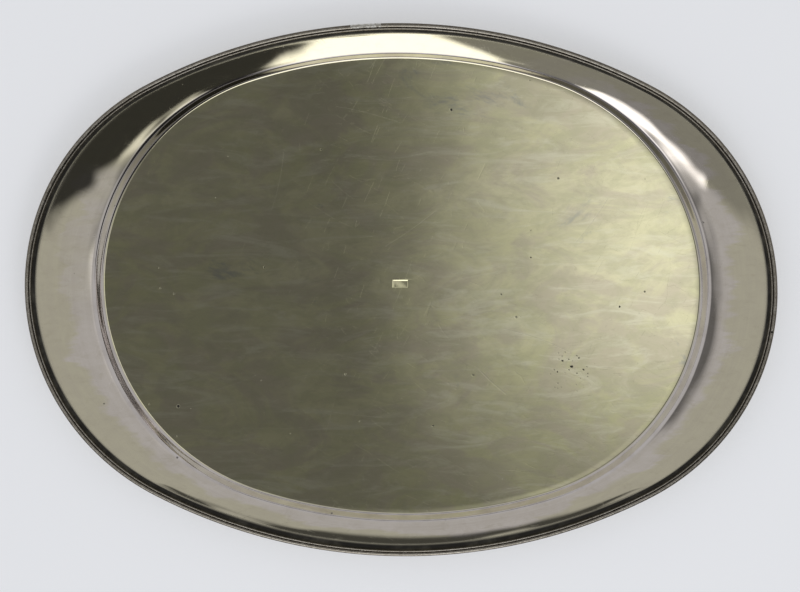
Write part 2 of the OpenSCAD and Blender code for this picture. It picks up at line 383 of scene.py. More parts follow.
def length_angles(side, gap, spacing):
    """Directions along one length of the rim, with half the gap left at each end."""
    middle, half = LENGTHS[side]
    r = rim_oval.end_r if side in ("right", "left") else rim_oval.side_r
    half = half - math.asin(gap / 2 / r)
    count = int(2 * half * r / spacing) + 1
    return np.linspace(middle - half, middle + half, count)


def swept(side, angles, section_in, section_z):
    """Rows of points: the section at each direction. Section arrays are (directions, points)."""
    grid = np.broadcast_to(angles[:, None], section_in.shape)
    return arc_points(side, grid, section_in, section_z)


def wire_section(angles_count, sides, r, centre_in, centre_z, wear):
    """A round section, its radius changed by wear (an array of directions by sides)."""
    turn = np.linspace(0, 2 * math.pi, sides, endpoint=False)
    radius = r * (1 + wear)
    return (
        centre_in + radius * np.cos(turn)[None, :] * np.ones((angles_count, 1)),
        centre_z + radius * np.sin(turn)[None, :] * np.ones((angles_count, 1)),
    )


def end_ring_faces(outer_start, inner_start, sides, flip):
    """Flat ring at the end of a tube."""
    faces = []
    for j in range(sides):
        k = (j + 1) % sides
        face = (outer_start + j, outer_start + k, inner_start + k, inner_start + j)
        faces.append(face[::-1] if flip else face)
    return faces


def bead_wear(side, angles, sides, seed):
    """Knocks, flats and fine pitting on the bead, as a share of its radius. It only takes metal off."""
    turn = np.linspace(0, 2 * math.pi, sides, endpoint=False)
    smooth_in, smooth_z = wire_section(len(angles), sides, BEAD_R, BEAD_R, BEAD_Z, 0.0)
    points = swept(side, angles, smooth_in, smooth_z).reshape(-1, 3)
    broad = lumps(points, 7.0, seed) * 0.5 + 0.5
    fine = np.abs(lumps(points, 1.6, seed + 1))
    rough = ease(lumps(points, 19.0, seed + 2), 0.05, 0.5)
    loss = 0.010 * broad + 0.030 * fine * (0.12 + 0.88 * rough)
    upward = np.clip(np.sin(turn), 0, 1)[None, :]
    loss = loss.reshape(len(angles), sides) * (0.35 + 0.65 * upward)
    ends = np.minimum(angles - angles[0], angles[-1] - angles)[:, None]
    return -loss * ease(ends, 0.0, 0.004)


def make_bead(side, seed):
    """One length of the hollow bead: an outer face with wear, the bore, and flat ends."""
    angles = length_angles(side, JOINT_GAP, BEAD_SPACING)
    wear = bead_wear(side, angles, BEAD_SIDES, seed)
    outer_in, outer_z = wire_section(len(angles), BEAD_SIDES, BEAD_R, BEAD_R, BEAD_Z, wear)
    inner_in, inner_z = wire_section(len(angles), BEAD_SIDES, BORE_R, BEAD_R, BEAD_Z, 0.0)
    outer = swept(side, angles, outer_in, outer_z).reshape(-1, 3)
    inner = swept(side, angles, inner_in, inner_z).reshape(-1, 3)
    rows = len(angles)
    far_end = (rows - 1) * BEAD_SIDES
    faces = ring_faces(rows, BEAD_SIDES)
    faces += [f[::-1] for f in ring_faces(rows, BEAD_SIDES, start=len(outer))]
    faces += end_ring_faces(0, len(outer), BEAD_SIDES, False)
    faces += end_ring_faces(far_end, len(outer) + far_end, BEAD_SIDES, True)
    bead = piece_from("bead_" + side, np.concatenate([outer, inner]), faces)
    mark_sharp_ends(bead)
    if side == "right":
        drill_vent(bead)
    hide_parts("rim_bead_" + side)
    return bead


def mark_sharp_ends(piece):
    """Keeps the square ends of a length square in the shading."""
    bpy.context.view_layer.objects.active = piece
    with bpy.context.temp_override(
            object=piece, selected_editable_objects=[piece], selected_objects=[piece]):
        bpy.ops.object.shade_smooth_by_angle(angle=SHARP_ANGLE)


def drill_vent(bead):
    """Drills the small vent hole through the outer wall of the bead."""
    cutter = bpy.data.meshes.new("vent_drill")
    shape = bmesh.new()
    bmesh.ops.create_cone(
        shape, cap_ends=True, segments=32, radius1=VENT_R * MM, radius2=VENT_R * MM,
        depth=VENT_DRILL_LENGTH * MM)
    r = rim_oval.end_r - BEAD_R
    height = BEAD_Z + VENT_DRILL_LENGTH / 2
    place = Vector((rim_oval.end_x + r * math.cos(VENT_TURN), r * math.sin(VENT_TURN), height)) * MM
    shape.transform(Matrix.Translation(place))
    shape.to_mesh(cutter)
    shape.free()
    drill = bpy.data.objects.new("vent_drill", cutter)
    bpy.context.scene.collection.objects.link(drill)
    cut = bead.modifiers.new("vent", "BOOLEAN")
    cut.operation = "DIFFERENCE"
    cut.object = drill
    cut.solver = "EXACT"
    bpy.context.view_layer.update()
    evaluated = bead.evaluated_get(bpy.context.evaluated_depsgraph_get())
    drilled = bpy.data.meshes.new_from_object(evaluated)
    bead.modifiers.clear()
    bead.data = drilled
    bpy.data.objects.remove(drill)


def make_thread(side, seed):
    """One length of the plain round thread beside the bead."""
    angles = length_angles(side, JOINT_GAP, THREAD_SPACING)
    sides = THREAD_SIDES
    plain_in, plain_z = wire_section(len(angles), sides, THREAD_R, THREAD_IN, THREAD_Z, 0.0)
    points = swept(side, angles, plain_in, plain_z).reshape(-1, 3)
    loss = 0.03 * (lumps(points, 9.0, seed) * 0.5 + 0.5) + 0.03 * np.abs(lumps(points, 2.2, seed + 1))
    wear = -loss.reshape(len(angles), sides)
    section_in, section_z = wire_section(len(angles), sides, THREAD_R, THREAD_IN, THREAD_Z, wear)
    points = swept(side, angles, section_in, section_z).reshape(-1, 3)
    rows = len(angles)
    faces = ring_faces(rows, sides)
    faces.append(tuple(range(sides)))
    faces.append(tuple((rows - 1) * sides + j for j in range(sides - 1, -1, -1)))
    thread = piece_from("thread_" + side, points, faces)
    mark_sharp_ends(thread)
    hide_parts("rim_thread_" + side)
    return thread


def solder_outline():
    """The solder's section as (way in, height) points, and which of them lie on its free surface."""
    low = LIP_Z - SOLDER_HEIGHT
    gap = TOUCH_GAP + 0.01
    bead_r, thread_r = BEAD_R + gap, THREAD_R + gap
    points = []
    for degrees in range(-70, 11, 8):
        a = math.radians(degrees)
        points.append((BEAD_R + bead_r * math.cos(a), BEAD_Z + bead_r * math.sin(a), False))
    for degrees in range(204, 265, 12):
        a = math.radians(degrees)
        points.append((THREAD_IN + thread_r * math.cos(a), THREAD_Z + thread_r * math.sin(a), False))
    points.append((LIP_OUTER - gap, LIP_Z - 0.01, False))
    cove = COVE_R + SHEET + gap
    reach = math.asin((COVE_Z - low) / cove)
    for i in range(5):
        a = reach * i / 4
        points.append((COVE_IN - cove * math.cos(a), COVE_Z - cove * math.sin(a), False))
    start, end = points[-1], points[0]
    for i in range(1, 8):
        k = i / 8
        points.append((start[0] + (end[0] - start[0]) * k, start[1] + (end[1] - start[1]) * k, True))
    return points


def make_solder(side, seed):
    """One length of the solder fillet under the rim, with a lumpy free surface."""
    angles = length_angles(side, TOUCH_GAP, SOLDER_SPACING)
    outline = solder_outline()
    count = len(outline)
    section_in = np.tile([p[0] for p in outline], (len(angles), 1))
    section_z = np.tile([p[1] for p in outline], (len(angles), 1))
    free = np.array([p[2] for p in outline])
    points = swept(side, angles, section_in, section_z).reshape(-1, 3)
    lump = waves(points, [(5.5, seed, 0.6), (2.3, seed + 1, 0.4)]).reshape(len(angles), count)
    bow = np.zeros(count)
    bow[free] = np.sin(np.linspace(0, math.pi, free.sum() + 2)[1:-1])
    rise = bow[None, :] * (0.10 + 0.10 * lump)
    section_z = section_z + np.clip(rise, 0.0, 0.3)
    section_in = section_in + np.clip(rise, 0.0, 0.3) * 0.3
    points = swept(side, angles, section_in, section_z).reshape(-1, 3)
    rows = len(angles)
    faces = ring_faces(rows, count)
    faces.append(tuple(range(count)))
    faces.append(tuple((rows - 1) * count + j for j in range(count - 1, -1, -1)))
    solder = piece_from("solder_" + side, points, faces)
    mark_sharp_ends(solder)
    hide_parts("rim_solder_" + side)
    return solder


def make_repair():
    """The old solder repair: a thin rough crescent over the outer top of the bead, at the back."""
    r = rim_oval.side_r - BEAD_R
    middle = math.pi / 2 - math.asin(REPAIR_X / r)
    half = math.asin(REPAIR_LENGTH / 2 / r)
    angles = np.linspace(middle - half, middle + half, 90)
    steps = REPAIR_SIDES
    turn = np.linspace(-math.radians(76), math.radians(76), steps) + REPAIR_LEAN
    # A turn of 0 faces straight out, where the way in is least.
    along = np.linspace(-1, 1, len(angles))[:, None]
    height = REPAIR_T * np.cos(turn - REPAIR_LEAN)[None, :] * np.ones((len(angles), 1))
    base_r = BEAD_R + TOUCH_GAP
    flat_in = BEAD_R - (base_r + height) * np.cos(turn)[None, :]
    flat_z = BEAD_Z + (base_r + height) * np.sin(turn)[None, :]
    points = swept("back", angles, flat_in, flat_z).reshape(-1, 3)
    rough = lumps(points, 1.1, 61).reshape(height.shape) * 0.5 + 0.5
    broad = lumps(points, 3.5, 62).reshape(height.shape) * 0.5 + 0.5
    fade = ease(1 - np.abs(along), 0.0, 0.22)
    left_over = np.clip(fade * (0.35 + 0.4 * rough + 0.35 * broad), 0, 1)
    outer_r = base_r + 0.012 + (height - TOUCH_GAP) * left_over
    outer_r = np.minimum(outer_r, base_r + height)
    outer_r = np.maximum(outer_r, base_r + 0.006)
    outer = swept("back", angles, BEAD_R - outer_r * np.cos(turn), BEAD_Z + outer_r * np.sin(turn))
    inner_r = np.full_like(height, base_r)
    inner = swept("back", angles, BEAD_R - inner_r * np.cos(turn), BEAD_Z + inner_r * np.sin(turn))
    points = np.concatenate([outer, inner[:, ::-1]], axis=1).reshape(-1, 3)
    around, rows = 2 * steps, len(angles)
    faces = ring_faces(rows, around)
    faces.append(tuple(range(around - 1, -1, -1)))
    faces.append(tuple((rows - 1) * around + j for j in range(around)))
    repair = piece_from("repair_patch", points, faces)
    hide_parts("rim_repair")
    return repair


def outward(piece):
    """Turns every face of a closed piece to face outward."""
    shape = bmesh.new()
    shape.from_mesh(piece.data)
    bmesh.ops.recalc_face_normals(shape, faces=shape.faces)
    shape.to_mesh(piece.data)
    shape.free()


# ---------------------------------------------------------------- node helpers
class Bench:
    """A short way to lay nodes in one tree and join them."""

    def __init__(self, tree):
        self.tree = tree

    def put(self, socket, value):
        if isinstance(value, bpy.types.NodeSocket):
            self.tree.links.new(value, socket)
        elif value is not None:
            socket.default_value = value

    def node(self, kind, settings=None, inputs=None):
        made = self.tree.nodes.new(kind)
        for label, value in (settings or {}).items():
            setattr(made, label, value)
        for label, value in (inputs or {}).items():
            self.put(made.inputs[label], value)
        return made

    def maths(self, operation, a, b=None, clamp=False):
        made = self.node("ShaderNodeMath", {"operation": operation, "use_clamp": clamp})
        self.put(made.inputs[0], a)
        self.put(made.inputs[1], b)
        return made.outputs[0]

    def times(self, a, b):
        return self.maths("MULTIPLY", a, b)

    def plus(self, a, b):
        return self.maths("ADD", a, b)

    def minus(self, a, b):
        return self.maths("SUBTRACT", a, b)

    def most(self, a, b):
        return self.maths("MAXIMUM", a, b)

    def vector_maths(self, operation, a, b):
        made = self.node("ShaderNodeVectorMath", {"operation": operation})
        self.put(made.inputs[0], a)
        self.put(made.inputs[1], b)
        return made.outputs

    def scaled(self, vector, amount):
        return self.vector_maths("MULTIPLY", vector, amount)[0]

    def added(self, vector, amount):
        return self.vector_maths("ADD", vector, amount)[0]

    def distance(self, vector, place):
        return self.vector_maths("DISTANCE", vector, place)["Value"]

    def split(self, vector):
        return self.node("ShaderNodeSeparateXYZ", None, {"Vector": vector}).outputs

    def ease(self, value, low, high, to_low=0.0, to_high=1.0):
        made = self.node("ShaderNodeMapRange", {"interpolation_type": "SMOOTHSTEP"})
        for socket, number in zip(made.inputs[:5], (value, low, high, to_low, to_high)):
            self.put(socket, number)
        return made.outputs[0]

    def mix(self, share, a, b):
        made = self.node("ShaderNodeMix", {"data_type": "RGBA"})
        self.put(made.inputs[0], share)
        self.put(made.inputs[6], a)
        self.put(made.inputs[7], b)
        return made.outputs[2]

    def tinted(self, colour, *layers):
        """A colour with others laid over it, each by its share of its mask."""
        for mask, share, over in layers:
            colour = self.mix(self.times(mask, share), colour, (*over, 1))
        return colour

    def with_shares(self, value, *parts):
        """A value with a share of each part added."""
        for part, share in parts:
            value = self.plus(value, self.times(part, share))
        return value

    def mix_value(self, share, a, b):
        made = self.node("ShaderNodeMix", {"data_type": "FLOAT"})
        self.put(made.inputs[0], share)
        self.put(made.inputs[2], a)
        self.put(made.inputs[3], b)
        return made.outputs[0]

    def noise(self, vector, scale, detail=3.0, roughness=0.5, distortion=0.0):
        made = self.node("ShaderNodeTexNoise", None, {
            "Vector": vector, "Scale": scale, "Detail": detail,
            "Roughness": roughness, "Distortion": distortion,
        })
        return made.outputs[0]

    def turned(self, vector, place, angle):
        made = self.node("ShaderNodeMapping", {"vector_type": "TEXTURE"}, {"Vector": vector})
        made.inputs["Location"].default_value = place
        made.inputs["Rotation"].default_value = (0, 0, angle)
        return made.outputs[0]

    def mark(self, label):
        return self.node("ShaderNodeAttribute", {"attribute_name": label}).outputs["Fac"]

    def group(self, tree, **inputs):
        """The mask of a node group."""
        return self.node("ShaderNodeGroup", {"node_tree": tree}, inputs).outputs["Mask"]

    def bumped(self, shader, strength, distance, height):
        settings = {"Strength": strength, "Distance": distance, "Height": height}
        self.put(shader.inputs["Normal"], self.node("ShaderNodeBump", None, settings).outputs[0])


def new_group(name, *vectors, **numbers):
    """A node group that makes one mask, and the bench, input and output sockets to fill it with."""
    tree = bpy.data.node_groups.new(name, "ShaderNodeTree")
    for label in vectors:
        tree.interface.new_socket(name=label, in_out="INPUT", socket_type="NodeSocketVector")
    for label, value in numbers.items():
        socket = tree.interface.new_socket(name=label, in_out="INPUT", socket_type="NodeSocketFloat")
        socket.default_value = value
    tree.interface.new_socket(name="Mask", in_out="OUTPUT", socket_type="NodeSocketFloat")
    b = Bench(tree)
    return tree, b, b.node("NodeGroupInput").outputs, b.node("NodeGroupOutput").inputs


def make_cloudy_film():
    """Tarnish that lies in soft clouds, drawn out along one way by wiping."""
    tree, b, given, out = new_group("cloudy_film", "Vector", Scale=8.0, Spread=0.2)
    drawn = b.scaled(given["Vector"], (0.42, 1.0, 1.0))
    slanted = b.turned(drawn, (0, 0, 0), 0.16)
    broad = b.noise(slanted, given["Scale"], 5.0, 0.55, 0.9)
    wiped = b.noise(b.scaled(slanted, (0.30, 1.6, 1.0)), b.times(given["Scale"], 3.1), 4.0, 0.6, 0.4)
    both = b.plus(b.times(broad, 0.65), b.times(wiped, 0.35))
    low = b.minus(0.5, given["Spread"])
    high = b.plus(0.5, given["Spread"])
    b.put(out["Mask"], b.ease(both, low, high))
    return tree


def make_hair_scratches():
    """Fine curved scratches: thin contour lines of stretched noise, broken up."""
    tree, b, given, out = new_group("hair_scratches", "Vector", Scale=30.0, Width=0.01, Gaps=0.5)
    total = None
    for angle, stretch, seed in ((0.12, 0.12, 0.0), (-0.55, 0.16, 3.7), (1.15, 0.14, 7.9)):
        lay = b.turned(given["Vector"], (seed, seed * 0.7, 0), angle)
        line = b.noise(b.scaled(lay, (stretch, 1.0, 1.0)), given["Scale"], 1.0, 0.5, 0.35)
        near = b.maths("ABSOLUTE", b.minus(line, 0.5))
        thin = b.ease(near, 0.0, given["Width"], 1.0, 0.0)
        broken = b.noise(lay, b.times(given["Scale"], 0.9), 2.0, 0.6)
        kept = b.times(thin, b.ease(broken, given["Gaps"], b.plus(given["Gaps"], 0.08)))
        total = kept if total is None else b.most(total, kept)
    b.put(out["Mask"], total)
    return tree


def make_rubbed_lines():
    """Close parallel lines left by years of rubbing one way."""
    tree, b, given, out = new_group("rubbed_lines", "Vector", Scale=500.0, Length=0.03)
    made = b.node("ShaderNodeCombineXYZ")
    b.put(made.inputs[0], given["Length"])
    made.inputs[1].default_value = 1.0
    made.inputs[2].default_value = 1.0
    drawn = b.scaled(given["Vector"], made.outputs[0])
    lines = b.noise(drawn, given["Scale"], 3.0, 0.7, 0.0)
    b.put(out["Mask"], b.ease(lines, 0.35, 0.65))
    return tree


def make_pits():
    """Scattered small pits and specks of black tarnish."""
    tree, b, given, out = new_group("pits", "Vector", Scale=200.0, Size=0.2, Share=0.2)
    cell = b.node("ShaderNodeTexVoronoi", None, {"Vector": given["Vector"], "Scale": given["Scale"]})
    picked = b.node("ShaderNodeSeparateColor", None, {"Color": cell.outputs["Color"]})
    chosen = b.maths("LESS_THAN", picked.outputs[0], given["Share"])
    size = b.times(given["Size"], b.plus(picked.outputs[1], 0.35))
    edge = b.times(size, 0.55)
    dot = b.ease(cell.outputs["Distance"], edge, size, 1.0, 0.0)
    b.put(out["Mask"], b.times(dot, chosen))
    return tree


def make_one_scratch():
    """One long scratch: a bowed line at the middle of its own coordinates."""
    tree, b, given, out = new_group("one_scratch", "Vector", Half=0.02, Width=0.0003, Bow=2.0)
    parts = b.split(given["Vector"])
    bowed = b.times(b.times(parts[0], parts[0]), given["Bow"])
    aside = b.maths("ABSOLUTE", b.minus(parts[1], bowed))
    line = b.ease(aside, b.times(given["Width"], 0.3), given["Width"], 1.0, 0.0)
    inside = b.maths("LESS_THAN", b.maths("ABSOLUTE", parts[0]), given["Half"])
    b.put(out["Mask"], b.times(line, inside))
    return tree


PEPPER_AT = (0.113, -0.056, 0.0)


def make_spot_mask():
    """One soft round patch of pepper-like pitting, low on the right of the well."""
    tree, b, given, out = new_group("spot_mask", "Vector", Reach=0.02)
    away = b.distance(b.scaled(given["Vector"], (1.0, 1.0, 0.0)), PEPPER_AT)
    near = b.times(given["Reach"], 0.3)
    b.put(out["Mask"], b.ease(away, near, given["Reach"], 1.0, 0.0))
    return tree


cloudy_film = make_cloudy_film()
hair_scratches = make_hair_scratches()
rubbed_lines = make_rubbed_lines()
pits = make_pits()
one_scratch = make_one_scratch()
spot_mask = make_spot_mask()


def new_material(name):
    """A material with an empty tree but for its output and one Principled shader."""
    material = bpy.data.materials.new(name)
    material.use_nodes = True
    tree = material.node_tree
    tree.nodes.clear()
    b = Bench(tree)
    shader = b.node("ShaderNodeBsdfPrincipled")
    output = b.node("ShaderNodeOutputMaterial")
    tree.links.new(shader.outputs[0], output.inputs[0])
    return material, b, shader


def here(b):
    """Object coordinates, in metres."""
    return b.node("ShaderNodeTexCoord").outputs["Object"]


# Long scratches in the well: x, y and turn, then half length, width and bow, in metres and radians.
LONG_SCRATCHES = [
    (0.061, -0.064, -0.75, 0.0125, 0.00042, 3.5),
    (0.018, -0.117, 0.55, 0.017, 0.00035, 6.0),
    (-0.080, 0.072, 1.35, 0.020, 0.00030, 3.0),
    (0.048, -0.018, 0.20, 0.030, 0.00028, 1.5),
    (-0.020, 0.118, -0.25, 0.022, 0.00030, -2.0),
    (0.128, 0.046, 0.95, 0.018, 0.00028, 2.0),
    (-0.112, -0.066, 0.35, 0.016, 0.00030, 4.0),
    (0.092, -0.034, -0.35, 0.024, 0.00026, -3.0),
    (-0.038, -0.086, -0.12, 0.026, 0.00028, 1.0),
    (0.008, 0.040, 0.62, 0.021, 0.00026, 1.8),
]
# Specks of black tarnish that stand alone: x, y and radius.
SPECKS = [
    (0.0346, 0.1203, 0.0011), (-0.1508, -0.0815, 0.0015), (0.108, -0.049, 0.0009),
    (0.114, -0.053, 0.0012), (0.119, -0.047, 0.0007), (0.1045, -0.0565, 0.0006),
    (0.122, -0.055, 0.0008), (-0.052, 0.0935, 0.0007), (0.087, 0.021, 0.0006),
    (-0.091, 0.014, 0.0008), (0.146, -0.012, 0.0007), (0.021, -0.094, 0.0008),
]


def scratch_field(b, coordinates, list_of_scratches):
    """All the long scratches as one mask."""
    total = None
    for x, y, turn, half, width, bow in list_of_scratches:
        lay = b.turned(coordinates, (x, y, 0), turn)
        mask = b.group(one_scratch, Vector=lay, Half=half, Width=width, Bow=bow)
        total = mask if total is None else b.most(total, mask)
    return total


def speck_field(b, coordinates):
    """All the single specks as one mask, with ragged edges."""
    flat = b.scaled(coordinates, (1, 1, 0))
    ragged = b.times(b.minus(b.noise(flat, 900.0, 2.0), 0.5), 0.0012)
    total = None
    for x, y, r in SPECKS:
        near = b.plus(b.distance(flat, (x, y, 0)), ragged)
        mask = b.ease(near, r * 0.5, r, 1.0, 0.0)
        total = mask if total is None else b.most(total, mask)
    return total


def raised_silver():
    """The sheet: olive film in the well, rubbed pinkish border, painted black shade in the cove and
    painted shade on the back of the step, scratches.
    """
    material, b, shader = new_material("raised_silver")
    at = here(b)
    well, step, cove = b.mark("well"), b.mark("step"), b.mark("cove")
    border, upper = b.mark("border"), b.mark("upper_side")
    way = b.node("ShaderNodeUVMap", {"uv_map": "round_and_across"}).outputs[0]

    film = b.group(cloudy_film, Vector=at, Scale=7.0, Spread=0.17)
    patches = b.group(cloudy_film, Vector=b.added(at, (3.1, 1.7, 0)), Scale=19.0, Spread=0.15)
    fine_film = b.noise(b.scaled(at, (1, 2.2, 1)), 95.0, 5.0, 0.65, 0.5)
    hair = b.group(hair_scratches, Vector=at, Scale=30.0, Width=0.0024, Gaps=0.60)
    moved_at = b.added(at, (5, 2, 0))
    hair_small = b.group(hair_scratches, Vector=moved_at, Scale=90.0, Width=0.006, Gaps=0.52)
    rubbed = b.group(rubbed_lines, Vector=way, Scale=900.0, Length=0.035)
    rubbed_wide = b.group(rubbed_lines, Vector=way, Scale=260.0, Length=0.02)
    specks = b.group(pits, Vector=at, Scale=105.0, Size=0.09, Share=0.14)
    dots = speck_field(b, at)
    peppered = b.group(pits, Vector=at, Scale=420.0, Size=0.20, Share=0.42)
    cluster = b.times(peppered, b.group(spot_mask, Vector=at, Reach=0.020))
    dots = b.most(dots, b.times(cluster, 0.85))
    scratches = scratch_field(b, at, LONG_SCRATCHES)
    scratches = b.times(scratches, well)
    marks = b.most(b.times(hair, 0.4), scratches)

    # Colour of the metal under each kind of film.
    drawn_at = b.scaled(at, (0.6, 1.0, 1.0))
    mottle = b.ease(b.noise(drawn_at, 25.0, 7.0, 0.62, 1.6), 0.40, 0.60)
    small_mottle = b.ease(b.noise(b.added(drawn_at, (4, 1, 0)), 70.0, 6.0, 0.66, 0.9), 0.36, 0.64)
    smudge = b.ease(b.noise(b.added(drawn_at, (9, 6, 0)), 17.0, 8.0, 0.68, 1.1), 0.61, 0.70)
    combed = b.turned(b.scaled(at, (0.22, 1.0, 1.0)), (2, 5, 0), 0.2)
    wisps = b.ease(b.noise(combed, 85.0, 6.0, 0.68, 1.2), 0.48, 0.70)
    well_colour = b.mix(film, (0.98, 0.93, 0.62, 1), (0.80, 0.78, 0.45, 1))
    well_colour = b.tinted(
        well_colour,
        (mottle, 0.80, (0.76, 0.69, 0.52)),
        (small_mottle, 0.48, (0.66, 0.65, 0.42)),
        (wisps, 0.60, (1.0, 0.97, 0.72)),
        (smudge, 0.70, (0.50, 0.51, 0.45)),
    )
    where = b.split(at)
    outer_olive = b.plus(border, b.times(b.minus(patches, 0.5), 0.55))
    outer_olive = b.ease(outer_olive, 0.42, 0.62)
    upper_left = b.plus(b.times(where[1], 7.0), b.times(where[0], -2.0))
    upper_left = b.ease(b.plus(upper_left, b.times(film, 0.6)), 0.75, 1.35)
    olive_share = b.most(b.times(outer_olive, 0.8), upper_left)
    border_colour = b.mix(olive_share, (0.90, 0.83, 0.765, 1), (0.80, 0.75, 0.54, 1))
    border_colour = b.tinted(
        border_colour,
        (rubbed_wide, 0.14, (0.62, 0.55, 0.49)),
        (small_mottle, 0.22, (0.64, 0.58, 0.47)),
    )
    colour = b.mix(well, border_colour, well_colour)
    colour = b.mix(b.times(b.ease(fine_film, 0.5, 0.75), 0.22), colour, (0.52, 0.47, 0.33, 1))
    colour = b.tinted(
        colour,
        (hair, 0.06, (0.97, 0.95, 0.86)),
        (scratches, 0.12, (0.98, 0.96, 0.90)),
        (step, 0.80, (0.94, 0.885, 0.875)),
    )
    step_dirt = b.times(step, b.ease(b.noise(at, 60.0, 4.0, 0.6), 0.40, 0.75, 0.02, 0.34))
    colour = b.mix(step_dirt, colour, (0.44, 0.38, 0.34, 1))
    # Painted shade: the step wall on the back (+y) side of the well is darkened to grey.
    back_step_painted_shade = b.times(step, b.ease(where[1], 0.04, 0.11, 0.0, 0.72))
    colour = b.mix(back_step_painted_shade, colour, (0.17, 0.16, 0.17, 1))
    black = b.most(b.times(specks, 0.8), dots)
    # Painted shade: the cove beside the rim is drawn almost black on the upper side, standing in for the
    # shade and dark reflection there; it also makes that band rougher, less metallic and lower in the
    # bump.
    cove_painted_shade = b.times(cove, b.ease(b.noise(at, 90.0, 4.0, 0.6), 0.2, 0.6, 0.93, 1.0))
    black = b.most(black, b.times(cove_painted_shade, upper))
    # Black for the tarnish specks and pits, and for the painted shade in the cove.
    colour = b.mix(black, colour, (0.016, 0.014, 0.011, 1))
    under_colour = b.mix(film, (0.80, 0.755, 0.60, 1), (0.58, 0.52, 0.38, 1))
    under_colour = b.tinted(under_colour, (hair_small, 0.3, (0.86, 0.83, 0.74)))
    colour = b.mix(upper, under_colour, colour)
    b.put(shader.inputs["Base Color"], colour)

    on_border = b.minus(1.0, well)
    rough = b.with_shares(
        0.016, (film, 0.012), (small_mottle, 0.015), (on_border, 0.015), (marks, 0.05),
        (hair_small, 0.06), (black, 0.45))
    rough = b.maths("ADD", rough, b.maths("MULTIPLY", b.maths("SUBTRACT", 1.0, upper), 0.14), clamp=True)
    b.put(shader.inputs["Roughness"], rough)
    metal = b.maths("SUBTRACT", 1.0, b.times(black, 0.55), clamp=True)
    b.put(shader.inputs["Metallic"], metal)

    height = b.with_shares(
        b.times(marks, -0.07), (hair_small, -0.06), (b.times(rubbed, on_border), 0.02), (black, -0.6))
    b.bumped(shader, 0.55, 0.00006, height)
    return material


def rim_silver():
    """Bead and thread: lighter on top where they face up, partly rubbed wear and partly a painted
    highlight; dark in the pits and down the sides.
    """
    material, b, shader = new_material("rim_silver")
    at = here(b)
    facing = b.split(b.node("ShaderNodeNewGeometry").outputs["Normal"])[2]
    film = b.group(cloudy_film, Vector=at, Scale=30.0, Spread=0.2)
    grime = b.noise(at, 420.0, 5.0, 0.7, 0.3)
    hollows = b.group(pits, Vector=at, Scale=700.0, Size=0.34, Share=0.20)
    hair = b.group(hair_scratches, Vector=at, Scale=160.0, Width=0.03, Gaps=0.45)
    # Painted highlight with rubbed wear: where the surface faces straight up it takes the lighter
    # colour.
    rubbed = b.ease(b.plus(facing, b.times(grime, 0.5)), 0.95, 1.35)
    colour = b.mix(rubbed, (0.105, 0.088, 0.070, 1), (0.55, 0.52, 0.46, 1))
    colour = b.tinted(colour, (film, 0.45, (0.22, 0.19, 0.14)))
    dirt = b.most(hollows, b.ease(grime, 0.60, 0.72))
    colour = b.tinted(colour, (dirt, 0.45, (0.10, 0.09, 0.07)))
    b.put(shader.inputs["Base Color"], colour)
    rough = b.plus(b.times(grime, 0.22), 0.12)
    rough = b.maths("ADD", rough, b.maths("MULTIPLY", dirt, 0.25), clamp=True)
    b.put(shader.inputs["Roughness"], rough)
    b.put(shader.inputs["Metallic"], b.minus(1.0, b.times(dirt, 0.5)))
    height = b.plus(b.times(hollows, -1.0), b.times(grime, 0.8))
    height = b.plus(height, b.times(hair, -0.5))
    b.bumped(shader, 0.35, 0.00006, height)
    return material


def old_solder():
    """Solder: greyer and duller than the silver, lumpy, with dark specks in it."""
    material, b, shader = new_material("old_solder")
    at = here(b)
    film = b.group(cloudy_film, Vector=at, Scale=55.0, Spread=0.22)
    grain = b.noise(at, 700.0, 5.0, 0.7, 0.4)
    specks = b.group(pits, Vector=at, Scale=800.0, Size=0.35, Share=0.3)
    scored = b.group(hair_scratches, Vector=at, Scale=240.0, Width=0.05, Gaps=0.42)
    colour = b.mix(film, (0.60, 0.585, 0.545, 1), (0.42, 0.39, 0.33, 1))
    colour = b.tinted(
        colour,
        (scored, 0.6, (0.85, 0.84, 0.80)),
        (specks, 0.8, (0.05, 0.045, 0.04)),
    )
    b.put(shader.inputs["Base Color"], colour)
    b.put(shader.inputs["Roughness"], b.plus(b.times(grain, 0.35), 0.28))
    b.put(shader.inputs["Metallic"], b.minus(1.0, b.times(specks, 0.6)))
    height = b.plus(grain, b.times(scored, -0.5))
    height = b.plus(height, b.times(specks, -0.8))
    b.bumped(shader, 0.8, 0.00010, height)
    return material


def drawn_wire():
    """Pegs: drawn silver wire with fine lines along it and a thin brown film."""
    material, b, shader = new_material("drawn_wire")
    at = here(b)
    film = b.group(cloudy_film, Vector=at, Scale=140.0, Spread=0.2)
    lines = b.group(rubbed_lines, Vector=at, Scale=2600.0, Length=0.08)
    specks = b.group(pits, Vector=at, Scale=1500.0, Size=0.3, Share=0.2)
    colour = b.mix(film, (0.84, 0.81, 0.74, 1), (0.55, 0.48, 0.36, 1))
    colour = b.tinted(colour, (specks, 0.7, (0.08, 0.07, 0.05)))
    b.put(shader.inputs["Base Color"], colour)
    b.put(shader.inputs["Roughness"], b.plus(b.times(lines, 0.2), 0.22))
    b.put(shader.inputs["Metallic"], b.minus(1.0, b.times(specks, 0.5)))
    height = b.minus(b.times(lines, 0.6), specks)
    b.bumped(shader, 0.5, 0.00005, height)
    return material


def wear_finish(piece, material):
    """Gives a piece its one material."""
    piece.data.materials.clear()
    piece.data.materials.append(material)


def finish_cad_node(name, material):
    """A CAD node keeps its shape and gets a finish on its object's own slots."""
    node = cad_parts[name]
    if not node.data.materials:
        node.data.materials.append(material)
    for place in node.material_slots:
        place.link = "OBJECT"
        place.material = material


# ---------------------------------------------------------------- build the salver
tray_finish, rim_finish = raised_silver(), rim_silver()
solder_finish, wire_finish = old_solder(), drawn_wire()

